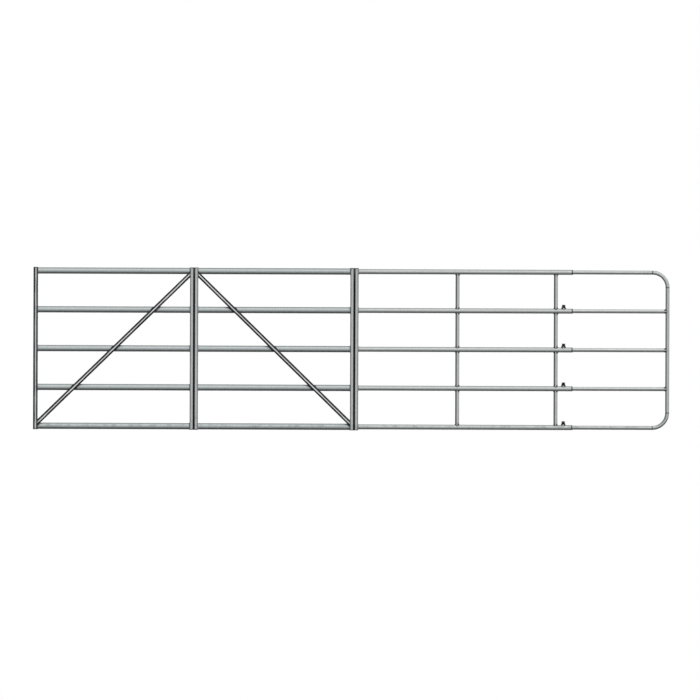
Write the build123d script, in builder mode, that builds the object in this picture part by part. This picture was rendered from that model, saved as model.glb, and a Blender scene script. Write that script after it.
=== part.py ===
from build123d import *
import os

# Extendable livestock panel: two braced bays of round rails between three uprights, then
# a set of sleeves in which a bent end frame slides, locked by screws.
# X runs along the panel, Y through it with the braces on the -Y side, and Z is up.
# The origin is on the ground at the middle of the panel, as it stands part extended.
# All sizes are in millimetres.

# Bay rails
rail_count = 5
rail_pitch = 260.0
rail_diameter = 42.4
rail_wall = 2.6
bay_length = 1019.0

# Uprights: a box section at the left end, and slotted channels at the centre and right
upright_depth = 70.0
upright_wall = 3.0
upright_bend_inside = 3.0
upright_overhang = 2.8
end_upright_width = 30.0
channel_width = 55.0
slot_width = 13.0

# Braces: folded channels with their toes saddled over the fronts of the rails
brace_width = 30.0
brace_depth = 14.0
brace_wall = 3.0
brace_bend_inside = 5.0
brace_seat = 1.0
brace_foot_rise = 23.2
brace_head_drop = 23.2

# Extension tube and the sleeves that it slides in
inner_diameter = 26.9
inner_wall = 2.3
slide_clearance = 0.8
sleeve_wall = 2.6
sleeve_length = 1435.0
inner_length = 1430.0
extended_reach = 635.0
end_bend_radius = 100.0
cope_trim = 2.0

# Stays between the sleeves, at their distances from the start of the sleeves
stay_diameter = 26.9
stay_wall = 2.3
near_stay_station = 663.0
far_stay_station = 1322.0

# Locks: a boss welded to the sleeve, and a screw through it with a lock nut under its head
first_locked_rail = 1
lock_setback = 61.0
boss_diameter = 29.0
boss_rise = 9.0
screw_diameter = 14.0
screw_tip_chamfer = 1.5
screw_tip_clearance = 0.2
thread_clearance = 0.1
lock_hole_clearance = 0.5
nut_across_flats = 22.0
nut_height = 7.0
thread_showing = 0.8
head_across_flats = 22.0
head_height = 8.8
head_turn = 30.0

# Heights of the rail axes, from the top rail down
upright_height = (rail_count - 1) * rail_pitch + rail_diameter + 2 * upright_overhang
bottom_axis_z = upright_overhang + rail_diameter / 2
axis_heights = [bottom_axis_z + (rail_count - 1 - row) * rail_pitch for row in range(rail_count)]
top_axis_z = axis_heights[0]

# Stations along the panel, from the left end
sleeve_bore = inner_diameter + 2 * slide_clearance
sleeve_diameter = sleeve_bore + 2 * sleeve_wall
fixed_length = end_upright_width + 2 * bay_length + 2 * channel_width + sleeve_length
overall_length = fixed_length + extended_reach + inner_diameter / 2
left_face_x = -overall_length / 2
left_bay_x = left_face_x + end_upright_width
centre_upright_x = left_bay_x + bay_length + channel_width / 2
right_bay_x = centre_upright_x + channel_width / 2
right_upright_x = right_bay_x + bay_length + channel_width / 2
sleeve_start_x = right_upright_x + channel_width / 2
sleeve_end_x = sleeve_start_x + sleeve_length
lock_x = sleeve_end_x - lock_setback
end_tube_x = sleeve_end_x + extended_reach
inner_start_x = end_tube_x - inner_length

os.makedirs("parts", exist_ok=True)


def save(piece, name):
    piece.part.label = name
    export_step(piece.part, f"parts/{name}.step")


def tube_along_x(start_x, axis_z, length, diameter, wall):
    with BuildPart() as tube:
        with BuildSketch(Plane.YZ.offset(start_x)):
            with Locations((0, axis_z)):
                Circle(diameter / 2)
                Circle(diameter / 2 - wall, mode=Mode.SUBTRACT)
        extrude(amount=length)
    return tube


# Left end upright, a rectangular hollow section
with BuildPart() as end_upright:
    with BuildSketch(Plane((left_face_x + end_upright_width / 2, 0, 0))):
        RectangleRounded(end_upright_width, upright_depth, upright_bend_inside + upright_wall)
        RectangleRounded(
            end_upright_width - 2 * upright_wall,
            upright_depth - 2 * upright_wall,
            upright_bend_inside,
            mode=Mode.SUBTRACT,
        )
    extrude(amount=upright_height)
save(end_upright, "left_end_upright")

# Centre and right uprights, lipped channels with the slot between their lips to the front
for upright_name, upright_x in (("centre_upright", centre_upright_x), ("right_upright", right_upright_x)):
    with BuildPart() as channel_upright:
        with BuildSketch(Plane((upright_x, 0, 0))):
            RectangleRounded(channel_width, upright_depth, upright_bend_inside + upright_wall)
            RectangleRounded(
                channel_width - 2 * upright_wall,
                upright_depth - 2 * upright_wall,
                upright_bend_inside,
                mode=Mode.SUBTRACT,
            )
            with Locations((0, -upright_depth / 2)):
                Rectangle(slot_width, 4 * upright_wall, mode=Mode.SUBTRACT)
        extrude(amount=upright_height)
    save(channel_upright, upright_name)

# Bay rails, numbered from the top, butted between the flat sides of the uprights
for bay_name, bay_x in (("left", left_bay_x), ("right", right_bay_x)):
    for row, axis_z in enumerate(axis_heights):
        bay_rail = tube_along_x(bay_x, axis_z, bay_length, rail_diameter, rail_wall)
        save(bay_rail, f"{bay_name}_bay_rail_{row + 1}")


# Braces, cut upright where they meet the uprights and hollowed where they cross the rails
def make_brace(foot_x, head_x):
    foot = Vector(foot_x, 0, bottom_axis_z + brace_foot_rise)
    head = Vector(head_x, 0, top_axis_z - brace_head_drop)
    along = (head - foot).normalized()
    across = Vector(-along.Z, 0, along.X)
    spare = along * 2 * brace_width
    toes = Vector(0, brace_seat - rail_diameter / 2, 0)
    with BuildPart() as brace:
        with BuildSketch(Plane(origin=foot - spare + toes, x_dir=across, z_dir=along)) as section:
            Rectangle(brace_width, brace_depth, align=(Align.CENTER, Align.MIN))
            fillet(section.vertices().group_by(Axis.Y)[-1], brace_bend_inside + brace_wall)
            with BuildSketch(mode=Mode.SUBTRACT) as hollow:
                Rectangle(
                    brace_width - 2 * brace_wall,
                    brace_depth - brace_wall,
                    align=(Align.CENTER, Align.MIN),
                )
                fillet(hollow.vertices().group_by(Axis.Y)[-1], brace_bend_inside)
        extrude(amount=(head - foot).length + 2 * spare.length)
        with Locations(((foot_x + head_x) / 2, 0, upright_height / 2)):
            Box(bay_length, 2 * upright_depth, upright_height, mode=Mode.INTERSECT)
        with BuildSketch(Plane.YZ.offset(min(foot_x, head_x))):
            with Locations(*[(0, axis_z) for axis_z in axis_heights]):
                Circle(rail_diameter / 2)
        extrude(amount=bay_length, mode=Mode.SUBTRACT)
    return brace


save(make_brace(left_bay_x, left_bay_x + bay_length), "left_brace")
save(make_brace(right_bay_x + bay_length, right_bay_x), "right_brace")

# Sleeves, numbered as the rails, with a screw hole in the crown of each one that locks
for row, axis_z in enumerate(axis_heights):
    with BuildPart() as sleeve:
        with BuildSketch(Plane.YZ.offset(sleeve_start_x)):
            with Locations((0, axis_z)):
                Circle(sleeve_diameter / 2)
                Circle(sleeve_bore / 2, mode=Mode.SUBTRACT)
        extrude(amount=sleeve_length)
        if row >= first_locked_rail:
            with BuildSketch(Plane((lock_x, 0, axis_z))):
                Circle(screw_diameter / 2 + lock_hole_clearance)
            extrude(amount=sleeve_diameter, mode=Mode.SUBTRACT)
    save(sleeve, f"sleeve_{row + 1}")

# Stays, one length in each gap, coped at both ends to the sleeves
for stay_name, stay_x in (
    ("near_stay", sleeve_start_x + near_stay_station),
    ("far_stay", sleeve_start_x + far_stay_station),
):
    for gap in range(rail_count - 1):
        with BuildPart() as stay:
            with BuildSketch(Plane((stay_x, 0, axis_heights[gap + 1]))):
                Circle(stay_diameter / 2)
                Circle(stay_diameter / 2 - stay_wall, mode=Mode.SUBTRACT)
            extrude(amount=rail_pitch)
            with BuildSketch(Plane.YZ.offset(stay_x - stay_diameter)):
                with Locations((0, axis_heights[gap]), (0, axis_heights[gap + 1])):
                    Circle(sleeve_diameter / 2)
            extrude(amount=2 * stay_diameter, mode=Mode.SUBTRACT)
        save(stay, f"{stay_name}_{gap + 1}")

# End frame, one tube bent into a U: its top and bottom legs slide in the outer sleeves
with BuildPart() as end_frame:
    with BuildLine() as bent_route:
        FilletPolyline(
            (inner_start_x, 0, top_axis_z),
            (end_tube_x, 0, top_axis_z),
            (end_tube_x, 0, bottom_axis_z),
            (inner_start_x, 0, bottom_axis_z),
            radius=end_bend_radius,
        )
    with BuildSketch(Plane(origin=bent_route.line @ 0, z_dir=bent_route.line % 0)):
        Circle(inner_diameter / 2)
        Circle(inner_diameter / 2 - inner_wall, mode=Mode.SUBTRACT)
    sweep()
save(end_frame, "end_frame")

# Inner rails between the end frame's legs, coped to its upright and slid into the sleeves
for row in range(1, rail_count - 1):
    with BuildPart() as inner_rail:
        with BuildSketch(Plane.YZ.offset(inner_start_x)):
            with Locations((0, axis_heights[row])):
                Circle(inner_diameter / 2)
                Circle(inner_diameter / 2 - inner_wall, mode=Mode.SUBTRACT)
        extrude(amount=inner_length - cope_trim)
        with BuildSketch(Plane((end_tube_x, 0, axis_heights[row] - inner_diameter))):
            Circle(inner_diameter / 2)
        extrude(amount=2 * inner_diameter, mode=Mode.SUBTRACT)
    save(inner_rail, f"inner_rail_{row + 1}")

# Locks, one on each sleeve below the top one
for row in range(first_locked_rail, rail_count):
    axis_z = axis_heights[row]
    boss_top_z = axis_z + sleeve_diameter / 2 + boss_rise
    head_base_z = boss_top_z + nut_height + thread_showing
    tip_z = axis_z + inner_diameter / 2 + screw_tip_clearance

    with BuildPart() as lock_boss:
        with BuildSketch(Plane((lock_x, 0, boss_top_z))):
            Circle(boss_diameter / 2)
            Circle(screw_diameter / 2 + thread_clearance, mode=Mode.SUBTRACT)
        extrude(amount=axis_z - boss_top_z)
        with BuildSketch(Plane.YZ.offset(lock_x - boss_diameter)):
            with Locations((0, axis_z)):
                Circle(sleeve_diameter / 2)
        extrude(amount=2 * boss_diameter, mode=Mode.SUBTRACT)
    save(lock_boss, f"lock_boss_{row + 1}")

    with BuildPart() as lock_nut:
        with BuildSketch(Plane((lock_x, 0, boss_top_z))):
            RegularPolygon(nut_across_flats / 2, 6, major_radius=False)
            Circle(screw_diameter / 2, mode=Mode.SUBTRACT)
        extrude(amount=nut_height)
    save(lock_nut, f"lock_nut_{row + 1}")

    with BuildPart() as lock_screw:
        with BuildSketch(Plane((lock_x, 0, tip_z))):
            Circle(screw_diameter / 2)
        extrude(amount=head_base_z - tip_z)
        chamfer(lock_screw.edges().group_by(Axis.Z)[0], screw_tip_chamfer)
        with BuildSketch(Plane((lock_x, 0, head_base_z))):
            RegularPolygon(head_across_flats / 2, 6, major_radius=False, rotation=head_turn)
        extrude(amount=head_height)
    save(lock_screw, f"lock_screw_{row + 1}")

print(f"overall {overall_length:.1f} x {upright_depth:.1f} x {upright_height:.1f} mm")
print(f"left face at x = {left_face_x:.2f}, sleeve ends at x = {sleeve_end_x:.2f}")
print(f"lock screws {head_base_z - tip_z:.1f} mm long at x = {lock_x:.2f}, end tube at x = {end_tube_x:.2f}")
print(f"rail axes at z = {', '.join(f'{axis_z:.1f}' for axis_z in axis_heights)}")
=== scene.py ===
import math

import bpy
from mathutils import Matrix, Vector


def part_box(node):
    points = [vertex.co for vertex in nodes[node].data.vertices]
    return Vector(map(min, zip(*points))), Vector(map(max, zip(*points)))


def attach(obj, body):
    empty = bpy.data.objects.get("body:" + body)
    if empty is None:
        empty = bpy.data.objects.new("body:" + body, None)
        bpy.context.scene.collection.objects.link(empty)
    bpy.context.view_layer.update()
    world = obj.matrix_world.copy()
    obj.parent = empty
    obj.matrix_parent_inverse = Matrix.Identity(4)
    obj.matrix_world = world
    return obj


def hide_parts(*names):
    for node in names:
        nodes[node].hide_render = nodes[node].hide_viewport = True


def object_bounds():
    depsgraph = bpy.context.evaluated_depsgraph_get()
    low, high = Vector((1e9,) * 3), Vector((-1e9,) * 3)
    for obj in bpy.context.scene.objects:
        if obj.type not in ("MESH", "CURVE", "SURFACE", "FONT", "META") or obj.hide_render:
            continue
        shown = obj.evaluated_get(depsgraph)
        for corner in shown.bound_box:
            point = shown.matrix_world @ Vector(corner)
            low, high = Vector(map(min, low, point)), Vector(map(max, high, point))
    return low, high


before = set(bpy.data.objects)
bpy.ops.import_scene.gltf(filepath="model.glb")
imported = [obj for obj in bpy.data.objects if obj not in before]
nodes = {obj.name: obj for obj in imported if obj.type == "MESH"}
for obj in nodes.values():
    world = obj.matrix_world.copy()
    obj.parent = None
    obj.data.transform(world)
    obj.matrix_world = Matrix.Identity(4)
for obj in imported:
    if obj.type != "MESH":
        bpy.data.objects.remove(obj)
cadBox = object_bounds()
scene = bpy.context.scene


# places read from the frame
def middleOf(node):
    low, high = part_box(node)
    return (low + high) / 2


def halfOf(node):
    low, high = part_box(node)
    return (high - low) / 2


def named(start):
    return sorted(name for name in nodes if name.startswith(start))


bayRails = named("left_bay_rail") + named("right_bay_rail")
braces = ["left_brace", "right_brace"]
channels = ["centre_upright", "right_upright"]
sleeves = named("sleeve")
stays = named("near_stay") + named("far_stay")
innerRails = named("inner_rail")
bosses = named("lock_boss")
locks = [name.split("_")[-1] for name in bosses]
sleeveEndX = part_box("sleeve_1")[1].x
sleeveRadius = halfOf("sleeve_1").z
innerRadius = halfOf("inner_rail_2").z
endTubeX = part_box("end_frame")[1].x - innerRadius
axisHeights = [middleOf(name).z for name in sleeves]  # from the top
rowPitch = axisHeights[0] - axisHeights[1]

# the braces mirror each other about the centre upright, so one line, tilted as their boxes ask, serves both
brace = {"width": 0.030, "corner": 0.008, "cornerStep": 15, "toeReach": 0.009, "toeInset": 0.001,
         "crossed": (1, 2, 3)}  # rows of rails that it runs over, with 0 at the top
braceLow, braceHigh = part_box("left_brace")
braceRun = braceHigh.x - braceLow.x
braceShare = brace["width"] / braceRun
braceTall = (braceHigh.z - braceLow.z) / braceRun
braceTilt = math.atan((braceTall - braceShare * math.sqrt(braceTall ** 2 + 1 - braceShare ** 2))
                      / (1 - braceShare ** 2))
braceSin, braceCos = math.sin(braceTilt), math.cos(braceTilt)
braceHeadZ = braceHigh.z - brace["width"] / 2 / braceCos
centreX = middleOf("centre_upright").x
braceHeadOut = centreX - braceHigh.x
print("braces lean", round(math.degrees(braceTilt), 2), "degrees")


# short ways to write node trees
def feed(tree, socket, value):
    if isinstance(value, bpy.types.NodeSocket):
        tree.links.new(value, socket)
    else:
        socket.default_value = value


def addNode(tree, kind, values=None, **settings):
    node = tree.nodes.new(kind)
    for key, value in settings.items():
        setattr(node, key, value)
    for key, value in (values or {}).items():
        feed(tree, node.inputs[key], value)
    return node


def calc(tree, operation, first, second=0.0, third=0.0, clamp=False):
    values = {0: first, 1: second, 2: third}
    return addNode(tree, "ShaderNodeMath", values, operation=operation, use_clamp=clamp).outputs[0]


def folded(tree, operation, first, *others):
    for other in others:
        first = calc(tree, operation, first, other)
    return first


def product(tree, *masks):
    return folded(tree, "MULTIPLY", *masks)


def largest(tree, *masks):
    return folded(tree, "MAXIMUM", *masks)


def inverse(tree, mask):
    return calc(tree, "SUBTRACT", 1.0, mask)


def awayFrom(tree, value, centre):
    return calc(tree, "ABSOLUTE", calc(tree, "SUBTRACT", value, centre))


def span(tree, value, low, high, start=0.0, stop=1.0):
    values = {"Value": value, "From Min": low, "From Max": high, "To Min": start, "To Max": stop}
    return addNode(tree, "ShaderNodeMapRange", values, interpolation_type="SMOOTHSTEP").outputs[0]


def axes(tree, place):
    return addNode(tree, "ShaderNodeSeparateXYZ", {0: place}).outputs


def joined(tree, x, y, z):
    return addNode(tree, "ShaderNodeCombineXYZ", {0: x, 1: y, 2: z}).outputs[0]


def noise(tree, place, scale, detail):
    return addNode(tree, "ShaderNodeTexNoise", {"Vector": place, "Scale": scale, "Detail": detail}).outputs


def mixColour(tree, share, first, second):
    return addNode(tree, "ShaderNodeMix", {0: share, 6: first, 7: second}, data_type="RGBA").outputs[2]


def newGroup(name, inputs, outputs, kind="ShaderNodeTree"):
    tree = bpy.data.node_groups.new(name, kind)
    for label, socket, value in inputs:
        made = tree.interface.new_socket(name=label, in_out="INPUT", socket_type="NodeSocket" + socket)
        if value is not None:
            made.default_value = value
    for label, socket in outputs:
        tree.interface.new_socket(name=label, in_out="OUTPUT", socket_type="NodeSocket" + socket)
    return tree, tree.nodes.new("NodeGroupInput").outputs, tree.nodes.new("NodeGroupOutput").inputs


def useGroup(tree, group, values):
    return addNode(tree, "ShaderNodeGroup", values, node_tree=group).outputs


def newMaterial(name):
    material = bpy.data.materials.new(name)
    material.use_nodes = True
    material.node_tree.nodes.clear()
    return material, material.node_tree


def rgba(colour, times=1.0):
    return (*[times * part for part in colour], 1.0)


# zinc crystals: small cells of differing grey, under slow cloudy patches
spangleLook = {"ragged": 0.004, "raggedDetail": 2.0, "cloudDetail": 3.0, "cloudShare": 0.9}


def makeSpangle():
    tree, given, out = newGroup(
        "zincSpangle",
        [("Vector", "Vector", None), ("Crystal", "Float", 0.012), ("Cloud", "Float", 0.15),
         ("Contrast", "Float", 0.3)],
        [("Tone", "Float"), ("Sheen", "Float"), ("Height", "Float")])
    perCrystal = calc(tree, "DIVIDE", 1.0, given["Crystal"])
    perCloud = calc(tree, "DIVIDE", 1.0, given["Cloud"])
    ragged = noise(tree, given["Vector"], perCrystal, spangleLook["raggedDetail"])["Color"]
    pull = addNode(tree, "ShaderNodeVectorMath", {0: ragged, 3: spangleLook["ragged"]}, operation="SCALE")
    pulled = addNode(tree, "ShaderNodeVectorMath", {0: given["Vector"], 1: pull.outputs[0]}, operation="ADD")
    cells = addNode(tree, "ShaderNodeTexVoronoi", {"Vector": pulled.outputs[0], "Scale": perCrystal})
    parts = addNode(tree, "ShaderNodeSeparateColor", {"Color": cells.outputs["Color"]}).outputs
    cloud = noise(tree, given["Vector"], perCloud, spangleLook["cloudDetail"])["Fac"]
    grain = calc(tree, "SUBTRACT", parts[0], 0.5)
    drift = calc(tree, "SUBTRACT", cloud, 0.5)
    both = calc(tree, "MULTIPLY_ADD", drift, spangleLook["cloudShare"], grain)
    tree.links.new(calc(tree, "MULTIPLY_ADD", both, given["Contrast"], 0.5, clamp=True), out["Tone"])
    tree.links.new(parts[1], out["Sheen"])
    tree.links.new(calc(tree, "ADD", parts[2], cloud), out["Height"])
    return tree


# dull grey film, mostly painted shade: on what faces down and on what faces left, away from the main sun;
# dust and painted shade along the top; splashes of dirt near the ground
shadeFilmLook = {"blots": 28.0, "blotDetail": 4.0, "patchSpan": (0.1, 0.6), "patchLeast": 0.9,
               "leftShadeSpan": (0.05, -0.6), "topSpan": (0.5, 0.95), "splashSpan": (0.42, 0.7)}


def makeShadeFilm():
    tree, given, out = newGroup(
        "paintedShadeAndDirt",
        [("Vector", "Vector", None), ("Under Shade", "Float", 0.5), ("Under From", "Float", 0.0),
         ("Under To", "Float", -0.6), ("Left Side Shade", "Float", 0.3), ("Dust And Top Shade", "Float", 0.2),
         ("Splash Height", "Float", 0.2), ("Splash", "Float", 0.3)],
        [("Shade And Dirt", "Float")])
    facing = axes(tree, addNode(tree, "ShaderNodeNewGeometry").outputs["Normal"])
    blots = noise(tree, given["Vector"], shadeFilmLook["blots"], shadeFilmLook["blotDetail"])["Fac"]
    patchy = span(tree, blots, *shadeFilmLook["patchSpan"], shadeFilmLook["patchLeast"], 1.0)
    # painted shade on what faces down and on what faces left
    under = product(tree, span(tree, facing["Z"], given["Under From"], given["Under To"]), given["Under Shade"])
    leftShade = product(tree, span(tree, facing["X"], *shadeFilmLook["leftShadeSpan"]), given["Left Side Shade"])
    # dust and painted shade, darker along the top
    dustAndTopShade = product(tree, span(tree, facing["Z"], *shadeFilmLook["topSpan"]), given["Dust And Top Shade"])
    shaded = product(tree, largest(tree, under, leftShade, dustAndTopShade), patchy)
    up = axes(tree, given["Vector"])["Z"]
    low = span(tree, calc(tree, "DIVIDE", up, given["Splash Height"]), 1.0, 0.0)
    splash = product(tree, low, given["Splash"], span(tree, blots, *shadeFilmLook["splashSpan"]))
    tree.links.new(largest(tree, shaded, splash), out["Shade And Dirt"])
    return tree


# a soft-edged band across a coordinate, as at a mouth, a bend mark or the face of a brace
def makeBand():
    tree, given, out = newGroup(
        "softBand",
        [("Coordinate", "Float", 0.0), ("Centre", "Float", 0.0), ("Half Width", "Float", 0.003),
         ("Softness", "Float", 0.002)],
        [("Band", "Float")])
    away = awayFrom(tree, given["Coordinate"], given["Centre"])
    past = calc(tree, "DIVIDE", calc(tree, "SUBTRACT", away, given["Half Width"]), given["Softness"])
    tree.links.new(span(tree, past, 1.0, 0.0), out["Band"])
    return tree


# fine bright scratches along X, as far as tube slides in tube
rubLook = {"length": 0.25, "width": 0.002, "fade": 0.06, "detail": 3.0, "scratchSpan": (0.5, 0.72)}


def makeRub():
    tree, given, out = newGroup(
        "slideRub",
        [("Vector", "Vector", None), ("Length", "Float", rubLook["length"]),
         ("Width", "Float", rubLook["width"]), ("Stop", "Float", 1.0), ("Fade", "Float", rubLook["fade"])],
        [("Rub", "Float")])
    place = axes(tree, given["Vector"])
    drawn = joined(tree, calc(tree, "DIVIDE", place["X"], given["Length"]),
                   calc(tree, "DIVIDE", place["Y"], given["Width"]),
                   calc(tree, "DIVIDE", place["Z"], given["Width"]))
    lines = noise(tree, drawn, 1.0, rubLook["detail"])["Fac"]
    toStop = calc(tree, "DIVIDE", calc(tree, "SUBTRACT", given["Stop"], place["X"]), given["Fade"])
    scratches = span(tree, lines, *rubLook["scratchSpan"])
    tree.links.new(product(tree, scratches, span(tree, toStop, 0.0, 1.0)), out["Rub"])
    return tree


# lets the edges of stains and of painted shade wander a little
wanderLook = {"size": 0.012, "detail": 5.0}


def makeWander():
    tree, given, out = newGroup(
        "edgeWander",
        [("Vector", "Vector", None), ("Coordinate", "Float", 0.0), ("Reach", "Float", 0.001),
         ("Size", "Float", wanderLook["size"])],
        [("Coordinate", "Float")])
    perSize = calc(tree, "DIVIDE", 1.0, given["Size"])
    drift = noise(tree, given["Vector"], perSize, wanderLook["detail"])["Fac"]
    aside = calc(tree, "SUBTRACT", drift, 0.5)
    tree.links.new(calc(tree, "MULTIPLY_ADD", aside, given["Reach"], given["Coordinate"]), out["Coordinate"])
    return tree


spangle = makeSpangle()
shadeFilm = makeShadeFilm()
band = makeBand()
rub = makeRub()
wander = makeWander()
print("shader groups:", ", ".join(group.name for group in (spangle, shadeFilm, band, rub, wander)))


def bandAt(tree, coordinate, centre, halfWidth, softness):
    values = {"Coordinate": coordinate, "Centre": centre, "Half Width": halfWidth, "Softness": softness}
    return useGroup(tree, band, values)["Band"]


def wandering(tree, place, coordinate, reach, size=wanderLook["size"]):
    values = {"Vector": place, "Coordinate": coordinate, "Reach": reach, "Size": size}
    return useGroup(tree, wander, values)["Coordinate"]


# stains and painted shade: each gives a mask of dark colour from the place on the piece
streak = {"draw": 0.05, "fine": 0.004}  # streaks in the edges of the painted shade, drawn out along the piece
braceShade = {"clearHalf": 0.0014, "soft": 0.0030, "wander": 0.0080, "depth": 0.97}


# painted shade along both sides of the brace, leaving a light middle
def shadeBrace(tree, place):
    at = axes(tree, place)
    out = calc(tree, "SUBTRACT", awayFrom(tree, at["X"], centreX), braceHeadOut)
    up = calc(tree, "SUBTRACT", at["Z"], braceHeadZ)
    across = calc(tree, "MULTIPLY_ADD", out, braceSin, calc(tree, "MULTIPLY", up, braceCos))
    along = calc(tree, "SUBTRACT", calc(tree, "MULTIPLY", out, streak["draw"] * braceCos),
                 calc(tree, "MULTIPLY", up, streak["draw"] * braceSin))
    drawn = joined(tree, along, at["Y"], across)
    across = wandering(tree, drawn, across, braceShade["wander"], streak["fine"])
    clearMiddle = bandAt(tree, across, 0.0, braceShade["clearHalf"], braceShade["soft"])
    return product(tree, inverse(tree, clearMiddle), braceShade["depth"])


# painted shade: dark bends of the uprights, and the dark inside and slot of the channels
uprightShade = {"wander": 0.0070, "leftShift": 0.0009, "leftReach": 0.0128, "leftSoft": 0.0032,
                "leftBend": 0.98, "rightBend": 0.97, "change": 0.004, "channelReach": 0.0088,
                "channelSoft": 0.0045, "channelBend": 0.55, "wall": 0.003, "slotHalf": 0.0072,
                "inside": 0.92, "hair": 0.0008}


# painted shade on the rounded bends at each side, along the piece
def bendsOf(tree, place, aside, half, reach, soft):
    through = calc(tree, "ABSOLUTE", axes(tree, place)["Y"])
    values = {"Vector": place, "Scale": (1.0, 1.0, streak["draw"])}
    drawn = addNode(tree, "ShaderNodeMapping", values).outputs[0]
    edges = []
    for away, limit in ((aside, half.x), (through, half.y)):
        loose = wandering(tree, drawn, away, uprightShade["wander"], streak["fine"])
        edges.append(span(tree, loose, limit - reach, limit - reach + soft))
    return product(tree, *edges)


# darker towards the sawn ends
cutEndDark = {"reach": 0.0035, "soft": 0.0060, "wander": 0.0110, "depth": 0.78}


def cutEndsOf(tree, place, name):
    fromMiddle = awayFrom(tree, axes(tree, place)["Z"], middleOf(name).z)
    toEnd = wandering(tree, place, calc(tree, "SUBTRACT", halfOf(name).z, fromMiddle), cutEndDark["wander"])
    near = span(tree, toEnd, cutEndDark["reach"] + cutEndDark["soft"], cutEndDark["reach"])
    return product(tree, near, cutEndDark["depth"])


def shadeLeftUpright(tree, place):
    name = "left_end_upright"
    sideways = calc(tree, "SUBTRACT", axes(tree, place)["X"], middleOf(name).x)
    aside = awayFrom(tree, sideways, uprightShade["leftShift"])
    bends = bendsOf(tree, place, aside, halfOf(name), uprightShade["leftReach"], uprightShade["leftSoft"])
    depth = span(tree, sideways, -uprightShade["change"], uprightShade["change"],
                 uprightShade["leftBend"], uprightShade["rightBend"])
    return largest(tree, product(tree, bends, depth), cutEndsOf(tree, place, name))


def shadeChannels(tree, place):
    at = axes(tree, place)
    half = halfOf(channels[0])
    aside = calc(tree, "MINIMUM", *[awayFrom(tree, at["X"], middleOf(name).x) for name in channels])
    bends = bendsOf(tree, place, aside, half, uprightShade["channelReach"], uprightShade["channelSoft"])
    bends = product(tree, bends, uprightShade["channelBend"])
    # painted shade inside the hollow of the channels and along the lips of the slot
    hollowX = bandAt(tree, aside, 0.0, half.x - uprightShade["wall"], uprightShade["hair"])
    hollowY = bandAt(tree, at["Y"], 0.0, half.y - uprightShade["wall"], uprightShade["hair"])
    slot = product(tree, bandAt(tree, aside, 0.0, uprightShade["slotHalf"], uprightShade["hair"]),
                   calc(tree, "LESS_THAN", at["Y"], 0.0))
    inside = largest(tree, product(tree, hollowX, hollowY), slot)
    outside = largest(tree, bends, cutEndsOf(tree, place, channels[0]))
    return largest(tree, product(tree, inside, uprightShade["inside"]), outside)


mouthStain = {"half": 0.0046, "soft": 0.0050, "depth": 0.96}


def stainSleeve(tree, place):
    mouth = bandAt(tree, axes(tree, place)["X"], sleeveEndX, mouthStain["half"], mouthStain["soft"])
    return product(tree, mouth, mouthStain["depth"])


# weld toes, where stays stand on sleeves and inner rails meet the end tube: dark beside a clear middle,
# partly weld tint and partly painted shade in the crease of the joint
toeTintAndShade = {"reach": 0.003, "soft": 0.010, "clearHalf": 0.0018, "clearSoft": 0.0046, "wander": 0.012,
            "depth": 0.97}


def fromRow(tree, up):
    start = calc(tree, "SUBTRACT", up, axisHeights[-1] - rowPitch / 2)
    return calc(tree, "SUBTRACT", calc(tree, "MODULO", start, rowPitch), rowPitch / 2)


# weld tint and painted shade beside the toes, leaving a clear middle
def toesOf(tree, place, toSeam, aside):
    toSeam = wandering(tree, place, toSeam, toeTintAndShade["wander"])
    near = span(tree, toSeam, toeTintAndShade["reach"] + toeTintAndShade["soft"], toeTintAndShade["reach"])
    clearMiddle = bandAt(tree, aside, 0.0, toeTintAndShade["clearHalf"], toeTintAndShade["clearSoft"])
    return product(tree, near, inverse(tree, clearMiddle), toeTintAndShade["depth"])


def stayToeTintAndShade(tree, place):
    at = axes(tree, place)
    lines = [middleOf(name).x for name in ("near_stay_1", "far_stay_1")]
    aside = calc(tree, "MINIMUM", *[awayFrom(tree, at["X"], x) for x in lines])
    toSleeve = calc(tree, "SUBTRACT", calc(tree, "ABSOLUTE", fromRow(tree, at["Z"])), sleeveRadius)
    return toesOf(tree, place, toSleeve, aside)


def innerRailToeTintAndShade(tree, place):
    at = axes(tree, place)
    toTube = calc(tree, "SUBTRACT", endTubeX - innerRadius, at["X"])
    return toesOf(tree, place, toTube, fromRow(tree, at["Z"]))


# marks where the bends of the end frame begin, which is also as far as it slides in
bendStain = {"radius": 0.100, "half": 0.0012, "soft": 0.0044, "depth": 0.82}
slideStopX = endTubeX - bendStain["radius"]


def stainEndFrame(tree, place):
    at = axes(tree, place)
    size = (bendStain["half"], bendStain["soft"])
    legs = bandAt(tree, at["X"], slideStopX, *size)
    top = bandAt(tree, at["Z"], axisHeights[0] - bendStain["radius"], *size)
    foot = bandAt(tree, at["Z"], axisHeights[-1] + bendStain["radius"], *size)
    return product(tree, largest(tree, legs, top, foot), bendStain["depth"])


bossShade = {"clearHalf": 0.0020, "soft": 0.005, "rim": 0.0035, "depth": 0.97, "crest": 0.0015}


# painted shade on the flanks and rim of the boss, leaving a light middle
def shadeBoss(tree, place):
    at = axes(tree, place)
    clearMiddle = bandAt(tree, at["X"], middleOf(bosses[0]).x, bossShade["clearHalf"], bossShade["soft"])
    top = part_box(bosses[-1])[1].z - axisHeights[-1] - bossShade["rim"]
    clearMiddle = product(tree, clearMiddle, span(tree, fromRow(tree, at["Z"]), top, top - bossShade["rim"]))
    return product(tree, inverse(tree, clearMiddle), bossShade["depth"])


# the same painted shade on the bead under a boss, but only near the crest of the sleeve
def shadeBossBead(tree, place):
    toCrest = calc(tree, "SUBTRACT", sleeveRadius, fromRow(tree, axes(tree, place)["Z"]))
    near = span(tree, toCrest, bossShade["crest"] + bossShade["soft"], bossShade["crest"])
    return product(tree, shadeBoss(tree, place), near)
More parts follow.
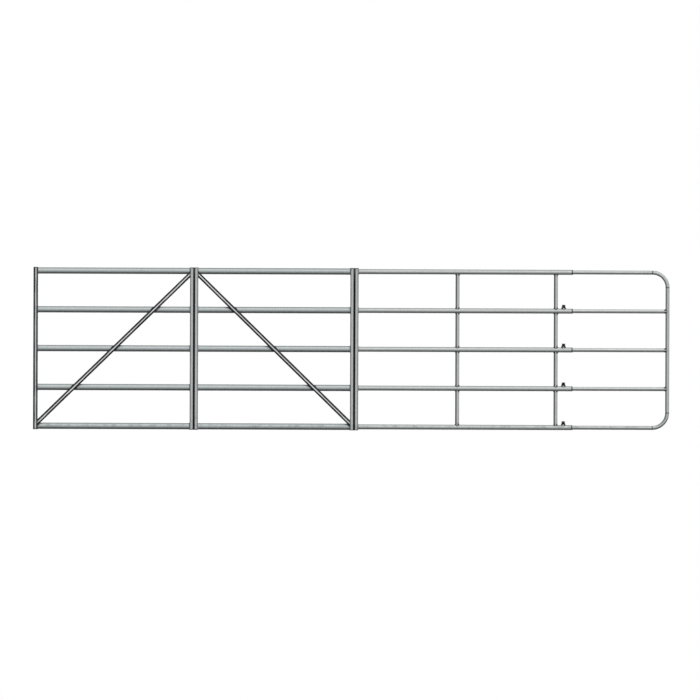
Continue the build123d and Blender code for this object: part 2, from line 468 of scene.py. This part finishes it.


# galvanised finishes: what all share, and what each has of its own
# film: painted shade under and on the left sides, dust and painted shade on top, splashes of dirt; grime:
# stains and painted shade
zincCommon = {"shadeAndDirtFilm": (0.088, 0.101, 0.098), "grimeAndShade": (0.014, 0.017, 0.017), "metal": 0.10,
              "metalSpread": 0.12, "specular": 0.2, "bump": 0.00012, "bumpStrength": 0.5, "crystal": 0.004,
              "cloud": 0.16, "contrast": 0.38, "roughSpread": 0.16, "underShade": 0.66,
              "underShadeSpan": (-0.08, -0.6), "leftSideShade": 0.4, "dustAndTopShade": 0.68, "splashHeight": 0.22, "splash": 0.3,
              "rub": 0.0, "rubBright": 1.12, "rubSmooth": 0.2, "mottle": 160.0, "mottleDetail": 5.0,
              "mottleSpan": (0.35, 0.7), "mottleTones": (0.6, 2.2), "dirtRough": 0.2}
deepShadeAndTint = (0.006, 0.007, 0.007)
bossShadeColour = (0.008, 0.009, 0.009)
weldSkin = {"light": (0.50, 0.525, 0.52), "dark": (0.38, 0.40, 0.395), "rough": 0.56, "contrast": 0.6,
            "bump": 0.0003}
zincLooks = {
    "railZinc": {"light": (0.49, 0.531, 0.528), "dark": (0.40, 0.434, 0.434), "rough": 0.50,
                 "contrast": 0.45},
    "leftUprightZinc": {"light": (0.62, 0.64, 0.635), "dark": (0.53, 0.55, 0.545), "rough": 0.52,
                        "stainAndShade": shadeLeftUpright},
    "channelZinc": {"light": (0.53, 0.55, 0.545), "dark": (0.46, 0.475, 0.47), "rough": 0.52,
                    "stainAndShade": shadeChannels},
    "braceZinc": {"light": (0.82, 0.84, 0.83), "dark": (0.72, 0.74, 0.73), "rough": 0.52, "stainAndShade": shadeBrace,
                  "grimeAndShade": deepShadeAndTint, "specular": 0.06, "underShade": 0.2, "leftSideShade": 0.1, "dustAndTopShade": 0.0},
    "sleeveZinc": {"light": (0.54, 0.567, 0.562), "dark": (0.455, 0.477, 0.472), "rough": 0.48,
                   "stainAndShade": stainSleeve, "underShade": 0.52, "underShadeSpan": (-0.1, -0.42), "dustAndTopShade": 0.65},
    "stayZinc": {"light": (0.57, 0.59, 0.58), "dark": (0.47, 0.49, 0.485), "rough": 0.50, "stainAndShade": stayToeTintAndShade,
                 "leftSideShade": 1.0},
    "endFrameZinc": {"light": (0.54, 0.567, 0.56), "dark": (0.46, 0.481, 0.476), "rough": 0.44,
                     "stainAndShade": stainEndFrame, "underShade": 0.61, "underShadeSpan": (-0.02, -0.35), "leftSideShade": 0.75,
                     "dustAndTopShade": 0.5, "rub": 0.25},
    "innerRailZinc": {"light": (0.58, 0.607, 0.60), "dark": (0.50, 0.521, 0.516), "rough": 0.44,
                      "stainAndShade": innerRailToeTintAndShade, "grimeAndShade": deepShadeAndTint, "underShade": 0.52,
                      "underShadeSpan": (0.20, -0.10), "dustAndTopShade": 0.35, "rub": 0.25},
    "bossZinc": {"light": (0.56, 0.58, 0.575), "dark": (0.44, 0.46, 0.455), "rough": 0.50, "stainAndShade": shadeBoss,
                 "grimeAndShade": bossShadeColour},
    "weldZinc": weldSkin,
    "weldBrace": {**weldSkin, "stainAndShade": shadeBrace, "grimeAndShade": deepShadeAndTint},
    "weldInner": {**weldSkin, "stainAndShade": innerRailToeTintAndShade, "grimeAndShade": deepShadeAndTint},
    "weldBoss": {**weldSkin, "stainAndShade": shadeBossBead, "grimeAndShade": bossShadeColour},
    "weldBurnt": {**weldSkin, "light": (0.12, 0.125, 0.125), "dark": (0.05, 0.053, 0.053), "contrast": 0.8},
}
zincNodes = {"railZinc": bayRails, "leftUprightZinc": ["left_end_upright"], "channelZinc": channels,
             "braceZinc": braces, "sleeveZinc": sleeves, "stayZinc": stays, "endFrameZinc": ["end_frame"],
             "innerRailZinc": innerRails, "bossZinc": bosses}


def finishSurface(tree, look, colour, metal, rough, height):
    values = {"Strength": look["bumpStrength"], "Distance": look["bump"], "Height": height}
    bump = addNode(tree, "ShaderNodeBump", values)
    shader = addNode(tree, "ShaderNodeBsdfPrincipled", {
        "Base Color": colour, "Metallic": metal, "Roughness": rough, "Normal": bump.outputs[0],
        "Specular IOR Level": look["specular"]})
    addNode(tree, "ShaderNodeOutputMaterial", {"Surface": shader.outputs[0]})


def zincMaterial(name):
    look = {**zincCommon, **zincLooks[name]}
    material, tree = newMaterial(name)
    place = addNode(tree, "ShaderNodeTexCoord").outputs["Object"]
    crystals = useGroup(tree, spangle, {
        "Vector": place, "Crystal": look["crystal"], "Cloud": look["cloud"], "Contrast": look["contrast"]})
    shadeAndDirtFilm = useGroup(tree, shadeFilm, {
        "Vector": place, "Under Shade": look["underShade"], "Under From": look["underShadeSpan"][0],
        "Under To": look["underShadeSpan"][1], "Left Side Shade": look["leftSideShade"], "Dust And Top Shade": look["dustAndTopShade"],
        "Splash Height": look["splashHeight"], "Splash": look["splash"]})["Shade And Dirt"]
    colour = mixColour(tree, crystals["Tone"], rgba(look["dark"]), rgba(look["light"]))
    dullest = look["rough"] + look["roughSpread"] / 2
    rough = calc(tree, "MULTIPLY_ADD", crystals["Tone"], -look["roughSpread"], dullest)
    if look["rub"]:
        scratches = useGroup(tree, rub, {"Vector": place, "Stop": slideStopX})["Rub"]
        rubbed = product(tree, scratches, look["rub"])
        colour = mixColour(tree, rubbed, colour, rgba(look["light"], look["rubBright"]))
        rough = calc(tree, "MULTIPLY_ADD", rubbed, -look["rubSmooth"], rough)
    # painted shade, dust and splashes: the dull film mixed over the zinc
    colour = mixColour(tree, shadeAndDirtFilm, colour, rgba(look["shadeAndDirtFilm"]))
    clean = inverse(tree, shadeAndDirtFilm)
    # stains and painted shade: each finish's dark marks, mixed over the zinc
    if "stainAndShade" in look:
        stainedAndShaded = look["stainAndShade"](tree, place)
        mottle = noise(tree, place, look["mottle"], look["mottleDetail"])["Fac"]
        grimeAndShadeColour = mixColour(tree, span(tree, mottle, *look["mottleSpan"]),
                         *[rgba(look["grimeAndShade"], tone) for tone in look["mottleTones"]])
        colour = mixColour(tree, stainedAndShaded, colour, grimeAndShadeColour)
        clean = product(tree, clean, inverse(tree, stainedAndShaded))
    leastMetal = look["metal"] - look["metalSpread"] / 2
    metal = calc(tree, "MULTIPLY_ADD", crystals["Sheen"], look["metalSpread"], leastMetal)
    metal = calc(tree, "MULTIPLY", metal, clean, clamp=True)
    dirty = calc(tree, "ADD", rough, look["dirtRough"])
    rough = calc(tree, "MULTIPLY_ADD", clean, -look["dirtRough"], dirty, clamp=True)
    finishSurface(tree, look, colour, metal, rough, crystals["Height"])
    return material


zinc = {name: zincMaterial(name) for name in zincLooks}
for name, members in zincNodes.items():
    for member in members:
        nodes[member].material_slots[0].material = zinc[name]
print("zinc finishes:", len(zinc))


# blackened steel of the lock screws and nuts, with greyer scuffs
blackLook = {"deep": (0.005, 0.0053, 0.0058), "worn": (0.045, 0.046, 0.048), "wornMetal": 0.6,
             "scuff": 0.0035, "coarseDetail": 5.0, "coarseSpan": (0.58, 0.78), "finer": 6,
             "fineDetail": 2.0, "fineSpan": (0.3, 0.6), "rough": 0.42, "roughSpread": 0.2,
             "specular": 0.07, "bump": 0.00008, "bumpStrength": 0.4}


def blackMaterial():
    material, tree = newMaterial("screwBlack")
    place = addNode(tree, "ShaderNodeTexCoord").outputs["Object"]
    coarse = noise(tree, place, 1 / blackLook["scuff"], blackLook["coarseDetail"])["Fac"]
    fine = noise(tree, place, blackLook["finer"] / blackLook["scuff"], blackLook["fineDetail"])["Fac"]
    scuffed = span(tree, coarse, *blackLook["coarseSpan"])
    worn = product(tree, scuffed, span(tree, fine, *blackLook["fineSpan"]))
    colour = mixColour(tree, worn, rgba(blackLook["deep"]), rgba(blackLook["worn"]))
    smoothest = blackLook["rough"] - blackLook["roughSpread"] / 2
    rough = calc(tree, "MULTIPLY_ADD", fine, blackLook["roughSpread"], smoothest)
    finishSurface(tree, blackLook, colour, product(tree, worn, blackLook["wornMetal"]), rough, fine)
    return material


screwBlack = blackMaterial()


# from a carrier mesh with a node tree on it to a plain mesh at the origin
def grown(name, mesh, tree, values):
    carrier = bpy.data.objects.new(name + "_carrier", mesh)
    scene.collection.objects.link(carrier)
    modifier = carrier.modifiers.new(tree.name, "NODES")
    modifier.node_group = tree
    for socket in tree.interface.items_tree:
        if socket.item_type == "SOCKET" and socket.in_out == "INPUT" and socket.name in values:
            modifier[socket.identifier] = values[socket.name]
    graph = bpy.context.evaluated_depsgraph_get()
    plain = bpy.data.meshes.new_from_object(carrier.evaluated_get(graph), depsgraph=graph)
    plain.name = name
    carrier.modifiers.remove(modifier)
    bpy.data.objects.remove(carrier)
    piece = bpy.data.objects.new(name, plain)
    scene.collection.objects.link(piece)
    return piece


# weld beads: overlapping flat drops along every welded seam
weld = {"pitch": 0.0025, "across": 0.0062, "along": 0.0052, "uneven": 0.14, "stand": 0.0006,
        "step": 12, "seed": 5, "segments": 8, "rings": 5}


def makeBeadTree():
    tree, given, out = newGroup(
        "weldBeads",
        [("Seams", "Geometry", None), ("Pitch", "Float", 0.003), ("Across", "Float", 0.006),
         ("Along", "Float", 0.004), ("Uneven", "Float", 0.15), ("Seed", "Int", 1),
         ("Finish", "Material", None)],
        [("Beads", "Geometry")], kind="GeometryNodeTree")
    lines = addNode(tree, "GeometryNodeMeshToCurve", {"Mesh": given["Seams"]})
    values = {"Curve": lines.outputs[0], "Length": given["Pitch"]}
    spots = addNode(tree, "GeometryNodeCurveToPoints", values, mode="LENGTH")
    values = {"Segments": weld["segments"], "Rings": weld["rings"], "Radius": 0.5}  # one across, scaled below
    drop = addNode(tree, "GeometryNodeMeshUVSphere", values)
    small = calc(tree, "SUBTRACT", 1.0, given["Uneven"])
    large = calc(tree, "ADD", 1.0, given["Uneven"])
    values = {2: small, 3: large, 8: given["Seed"]}
    chance = addNode(tree, "FunctionNodeRandomValue", values, data_type="FLOAT")
    swell = joined(tree, given["Across"], given["Across"], given["Along"])
    size = addNode(tree, "ShaderNodeVectorMath", {0: swell, 3: chance.outputs[1]}, operation="SCALE")
    drops = addNode(tree, "GeometryNodeInstanceOnPoints", {
        "Points": spots.outputs["Points"], "Instance": drop.outputs["Mesh"],
        "Rotation": spots.outputs["Rotation"], "Scale": size.outputs[0]})
    real = addNode(tree, "GeometryNodeRealizeInstances", {0: drops.outputs[0]})
    smooth = addNode(tree, "GeometryNodeSetShadeSmooth", {0: real.outputs[0]})
    values = {"Geometry": smooth.outputs[0], "Material": given["Finish"]}
    done = addNode(tree, "GeometryNodeSetMaterial", values)
    tree.links.new(done.outputs[0], out["Beads"])
    return tree


# seams: lists of points, each with whether it closes into a ring
def ringAround(radius, pointAt):
    turns = [math.radians(angle) for angle in range(0, 360, weld["step"])]
    return [pointAt(radius * math.cos(turn), radius * math.sin(turn)) for turn in turns], True


def squareEnds(name, ends):
    low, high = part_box(name)
    middle = middleOf(name)
    reach = halfOf(name).z + weld["stand"]
    for end in ends:
        x = low.x + weld["stand"] if end == "start" else high.x - weld["stand"]
        yield ringAround(reach, lambda y, z: (x, y, middle.z + z))


def saddle(x, radius, axisZ, side):
    barrel = sleeveRadius + weld["stand"]
    return ringAround(radius + weld["stand"], lambda along, y: (
        x + along, y, axisZ + side * math.sqrt(max(barrel ** 2 - y ** 2, 0))))


def fishMouth(name):
    barrel = innerRadius + weld["stand"]
    return ringAround(innerRadius + weld["stand"], lambda y, z: (
        endTubeX - math.sqrt(max(barrel ** 2 - y ** 2, 0)), y, middleOf(name).z + z))


def braceEnds(name):
    low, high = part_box(name)
    half = brace["width"] / 2 / braceCos
    cornerZ = brace["corner"] / braceCos
    inward = math.copysign(1, centreX - middleOf(name).x)
    headX, footX = (high.x, low.x) if inward > 0 else (low.x, high.x)
    outline = [(high.y, half)]
    for angle in range(0, 91, brace["cornerStep"]):
        turn = math.radians(angle)
        inset, drop = 1 - math.sin(turn), 1 - math.cos(turn)
        outline.append((low.y + brace["corner"] * inset, half - cornerZ * drop))
    outline += [(y, -up) for y, up in reversed(outline)]
    for x, z, sign in ((headX, high.z - half, inward), (footX, low.z + half, -inward)):
        yield [(x - sign * weld["stand"], y, z + up) for y, up in outline], False


def braceToes(name):
    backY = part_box(name)[1].y - brace["toeInset"]
    side = math.copysign(1, middleOf(name).x - centreX)
    half = brace["width"] / 2 + weld["stand"]
    for row in brace["crossed"]:
        out = (braceHeadZ - axisHeights[row]) / math.tan(braceTilt)
        for across in (half, -half):
            points = []
            for step in (-1, 0, 1):
                along = step * brace["toeReach"]
                u = braceHeadOut + out + along * braceCos + across * braceSin
                v = axisHeights[row] - along * braceSin + across * braceCos
                points.append((centreX + side * u, backY, v))
            yield points, False


def railSeams():
    for name in bayRails:
        yield from squareEnds(name, ("start", "end"))
    for name in sleeves:
        yield from squareEnds(name, ("start",))


def staySeams():
    for name in stays:
        row = int(name.split("_")[-1])
        place = middleOf(name)
        yield saddle(place.x, halfOf(name).x, axisHeights[row - 1], -1)
        yield saddle(place.x, halfOf(name).x, axisHeights[row], 1)


def braceSeams():
    for name in braces:
        yield from braceEnds(name)
        yield from braceToes(name)


def bossSeams():
    for name in bosses:
        row = int(name.split("_")[-1])
        yield saddle(middleOf(name).x, halfOf(name).x, axisHeights[row - 1], 1)


def extensionSeams():
    for name in innerRails:
        yield fishMouth(name)


beadTree = makeBeadTree()


def makeBeads(kind, body, seams, finish, size=1.0):
    points, edges = [], []
    lowest = size * weld["across"] * (1 + weld["uneven"]) / 2
    for line, closed in seams:
        first = len(points)
        points += [(x, y, max(z, lowest)) for x, y, z in line]
        edges += [(first + step, first + step + 1) for step in range(len(line) - 1)]
        if closed:
            edges.append((len(points) - 1, first))
    mesh = bpy.data.meshes.new("seams_" + kind)
    mesh.from_pydata(points, edges, [])
    beads = grown("weld_beads_" + kind, mesh, beadTree, {
        "Pitch": size * weld["pitch"], "Across": size * weld["across"], "Along": size * weld["along"],
        "Uneven": weld["uneven"], "Seed": weld["seed"], "Finish": zinc[finish]})
    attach(beads, body)
    print("weld beads of", kind + ":", len(beads.data.polygons), "faces")


makeBeads("rails", "panel", railSeams(), "weldZinc", size=0.8)
makeBeads("stays", "panel", staySeams(), "weldBurnt")
makeBeads("braces", "panel", braceSeams(), "weldBrace", size=0.8)
makeBeads("bosses", "panel", bossSeams(), "weldBoss", size=0.6)
makeBeads("extension", "extension", extensionSeams(), "weldInner", size=0.8)


# lock screws and nuts: chamfered hexagons turned from rings, and a thread wound by a node tree
lock = {"headHeight": 0.0088, "headTurn": 0, "nutTurn": 30, "washerFace": 0.0005, "crown": 0.95,
        "bevel": 30.0, "dishRim": 0.75, "dishFloor": 0.68, "dish": 0.0003, "mouth": 0.0007, "ringStep": 5,
        "sharp": 32.0, "pitch": 0.002, "crest": 0.007, "tip": 0.0015, "perTurn": 24, "ridgeSides": 4}


def hexRadius(flats, turn, angle):
    sixth = 360 / 6
    off = (angle - turn + sixth / 2) % sixth - sixth / 2
    return flats / 2 / math.cos(math.radians(off))


def ringSolid(name, x, rings, closed=False):
    angles = range(0, 360, lock["ringStep"])
    count = len(angles)
    points, faces = [], []
    for ring in rings:
        for angle in angles:
            radius, z = ring(angle)
            turn = math.radians(angle)
            points.append((x + radius * math.cos(turn), radius * math.sin(turn), z))
    pairs = [(row, row + 1) for row in range(len(rings) - 1)]
    if closed:
        pairs.append((len(rings) - 1, 0))
    for lower, upper in pairs:
        for step in range(count):
            after = (step + 1) % count
            faces.append((lower * count + step, lower * count + after,
                          upper * count + after, upper * count + step))
    if not closed:
        faces.append(tuple(reversed(range(count))))
        faces.append(tuple((len(rings) - 1) * count + step for step in range(count)))
    mesh = bpy.data.meshes.new(name)
    mesh.from_pydata(points, [], faces)
    return mesh


def circle(radius, z):
    return lambda angle: (radius, z)


def hexagon(flats, turn, z, drop):
    crown = lock["crown"] * flats / 2
    slope = math.tan(math.radians(lock["bevel"]))

    def ring(angle):
        radius = hexRadius(flats, turn, angle)
        return radius, z + drop * (radius - crown) * slope
    return ring


def makeThreadTree():
    tree, given, out = newGroup(
        "screwThread",
        [("Blank", "Geometry", None), ("Start", "Vector", None), ("Crest", "Float", 0.007),
         ("Pitch", "Float", 0.002), ("Length", "Float", 0.01), ("Points A Turn", "Int", 24),
         ("Finish", "Material", None)],
        [("Screw", "Geometry")], kind="GeometryNodeTree")
    ridge = calc(tree, "MULTIPLY", given["Pitch"], 0.5)
    reach = calc(tree, "SUBTRACT", given["Crest"], ridge)
    turns = calc(tree, "DIVIDE", given["Length"], given["Pitch"])
    helix = addNode(tree, "GeometryNodeCurveSpiral", {
        "Resolution": given["Points A Turn"], "Rotations": turns, "Start Radius": reach, "End Radius": reach,
        "Height": given["Length"]})
    upright = addNode(tree, "GeometryNodeSetCurveNormal", {"Curve": helix.outputs[0]}, mode="Z_UP")
    values = {"Resolution": lock["ridgeSides"], "Radius": ridge}
    shape = addNode(tree, "GeometryNodeCurvePrimitiveCircle", values, mode="RADIUS")
    wound = addNode(tree, "GeometryNodeCurveToMesh", {
        "Curve": upright.outputs[0], "Profile Curve": shape.outputs[0], "Fill Caps": True})
    values = {"Geometry": wound.outputs[0], "Translation": given["Start"]}
    placed = addNode(tree, "GeometryNodeTransform", values)
    both = tree.nodes.new("GeometryNodeJoinGeometry")
    tree.links.new(placed.outputs[0], both.inputs[0])
    tree.links.new(given["Blank"], both.inputs[0])
    real = addNode(tree, "GeometryNodeRealizeInstances", {0: both.outputs[0]})
    values = {"Geometry": real.outputs[0], "Material": given["Finish"]}
    done = addNode(tree, "GeometryNodeSetMaterial", values)
    tree.links.new(done.outputs[0], out["Screw"])
    return tree


threadTree = makeThreadTree()


def edged(piece):
    piece.data.shade_smooth()
    piece.data.set_sharp_from_angle(angle=math.radians(lock["sharp"]))


def makeLockScrew(number):
    node = "lock_screw_" + number
    low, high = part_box(node)
    x, flats = middleOf(node).x, high.x - low.x
    base = high.z - lock["headHeight"]
    washer = base + lock["washerFace"]
    root = lock["crest"] - lock["pitch"] / 2
    crown = lock["crown"] * flats / 2
    rings = [circle(root - lock["tip"], low.z), circle(root, low.z + lock["tip"]), circle(root, base),
             circle(crown, base), circle(crown, washer), hexagon(flats, lock["headTurn"], washer, 0),
             hexagon(flats, lock["headTurn"], high.z, -1), circle(crown, high.z),
             circle(lock["dishRim"] * crown, high.z),
             circle(lock["dishFloor"] * crown, high.z - lock["dish"])]
    blank = ringSolid("lockBlank_" + number, x, rings)
    start = low.z + lock["tip"] + lock["pitch"] / 2
    piece = grown("lock_screw_" + number + "_threaded", blank, threadTree, {
        "Start": (x, 0.0, start), "Crest": lock["crest"], "Pitch": lock["pitch"],
        "Length": base - lock["pitch"] / 2 - start, "Points A Turn": lock["perTurn"], "Finish": screwBlack})
    edged(piece)
    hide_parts(node)
    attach(piece, node)


def makeLockNut(number):
    node = "lock_nut_" + number
    low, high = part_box(node)
    x, flats = middleOf(node).x, high.y - low.y
    crown, bore, mouth = lock["crown"] * flats / 2, lock["crest"], lock["mouth"]
    rings = [circle(bore + mouth, low.z), circle(crown, low.z), hexagon(flats, lock["nutTurn"], low.z, 1),
             hexagon(flats, lock["nutTurn"], high.z, -1), circle(crown, high.z), circle(bore + mouth, high.z),
             circle(bore, high.z - mouth), circle(bore, low.z + mouth)]
    mesh = ringSolid("lockNut_" + number, x, rings, closed=True)
    piece = bpy.data.objects.new("lock_nut_" + number + "_chamfered", mesh)
    scene.collection.objects.link(piece)
    piece.data.materials.append(screwBlack)
    edged(piece)
    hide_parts(node)
    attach(piece, "lock_screw_" + number)


for number in locks:
    makeLockScrew(number)
    makeLockNut(number)
print("lock screws and nuts:", len(locks))


# the scene around it: a pale floor, soft suns and white to the eye
stageLook = {"floorSize": 24.0, "floorDull": (0.16, 0.16, 0.16), "floorWhite": (0.25, 0.25, 0.25),
             "floorGlow": 0.81, "ambient": (0.07, 0.072, 0.075), "sky": (1.0, 1.0, 1.0)}
sunLook = {"keySun": {"turn": 12.0, "rise": 43.0, "power": 2.84, "soft": 48.0, "glints": True},
           "fillSun": {"turn": -35.0, "rise": 25.0, "power": 0.10, "soft": 60.0, "glints": True},
           "backSun": {"turn": 172.0, "rise": 10.0, "power": 2.0, "soft": 30.0, "glints": False}}
photo = {"pixels": 700, "metresPerPixel": 0.0067, "middleX": 351.33, "middleY": 349.2, "tilt": -0.21,
         "lens": 800.0, "clipTimes": 4}


def seenDirectly(tree):
    rays = addNode(tree, "ShaderNodeLightPath").outputs
    return largest(tree, rays["Is Camera Ray"], rays["Is Glossy Ray"], rays["Is Transmission Ray"])


def makeFloor():
    half = stageLook["floorSize"] / 2
    corners = [(-half, -half, 0), (half, -half, 0), (half, half, 0), (-half, half, 0)]
    mesh = bpy.data.meshes.new("floor")
    mesh.from_pydata(corners, [], [(0, 1, 2, 3)])
    floor = bpy.data.objects.new("floor", mesh)
    scene.collection.objects.link(floor)
    material, tree = newMaterial("paleFloor")
    dull = addNode(tree, "ShaderNodeBsdfDiffuse", {"Color": rgba(stageLook["floorDull"])})
    white = addNode(tree, "ShaderNodeBsdfDiffuse", {"Color": rgba(stageLook["floorWhite"])})
    glow = addNode(tree, "ShaderNodeEmission", {"Strength": stageLook["floorGlow"]})
    bright = addNode(tree, "ShaderNodeAddShader", {0: white.outputs[0], 1: glow.outputs[0]})
    values = {0: seenDirectly(tree), 1: dull.outputs[0], 2: bright.outputs[0]}
    both = addNode(tree, "ShaderNodeMixShader", values)
    addNode(tree, "ShaderNodeOutputMaterial", {"Surface": both.outputs[0]})
    material.cycles.emission_sampling = "NONE"
    floor.data.materials.append(material)


def makeWorld():
    world = bpy.data.worlds.new("studio")
    world.use_nodes = True
    tree = world.node_tree
    tree.nodes.clear()
    colour = mixColour(tree, seenDirectly(tree), rgba(stageLook["ambient"]), rgba(stageLook["sky"]))
    sky = addNode(tree, "ShaderNodeBackground", {"Color": colour, "Strength": 1.0})
    addNode(tree, "ShaderNodeOutputWorld", {"Surface": sky.outputs[0]})
    scene.world = world


def makeSun(name, look):
    turn, rise = math.radians(look["turn"]), math.radians(look["rise"])
    toSun = Vector((math.sin(turn) * math.cos(rise), -math.cos(turn) * math.cos(rise), math.sin(rise)))
    sun = bpy.data.lights.new(name, "SUN")
    sun.energy = look["power"]
    sun.angle = math.radians(look["soft"])
    lamp = bpy.data.objects.new(name, sun)
    lamp.rotation_euler = (-toSun).to_track_quat("-Z", "Y").to_euler()
    lamp.visible_glossy = look["glints"]  # a low sun behind speckles every edge with white
    scene.collection.objects.link(lamp)


# the photograph looks straight at the front from far off, a little tilted
def makeCamera():
    lens = bpy.data.cameras.new("photoCamera")
    lens.lens = photo["lens"]
    frameWidth = photo["pixels"] * photo["metresPerPixel"]
    distance = lens.lens / lens.sensor_width * frameWidth
    lens.clip_end = photo["clipTimes"] * distance
    middle = (cadBox[0] + cadBox[1]) / 2
    aimX = middle.x - (photo["middleX"] - photo["pixels"] / 2) * photo["metresPerPixel"]
    aimZ = middle.z + (photo["middleY"] - photo["pixels"] / 2) * photo["metresPerPixel"]
    camera = bpy.data.objects.new("photoCamera", lens)
    camera.location = (aimX, -distance, aimZ)
    camera.rotation_euler = (math.radians(90), math.radians(photo["tilt"]), 0)
    scene.collection.objects.link(camera)
    scene.camera = camera


makeFloor()
makeWorld()
for name, look in sunLook.items():
    makeSun(name, look)
makeCamera()
scene.view_settings.view_transform = "Standard"
print("stage: floor, world,", len(sunLook), "suns and the camera")
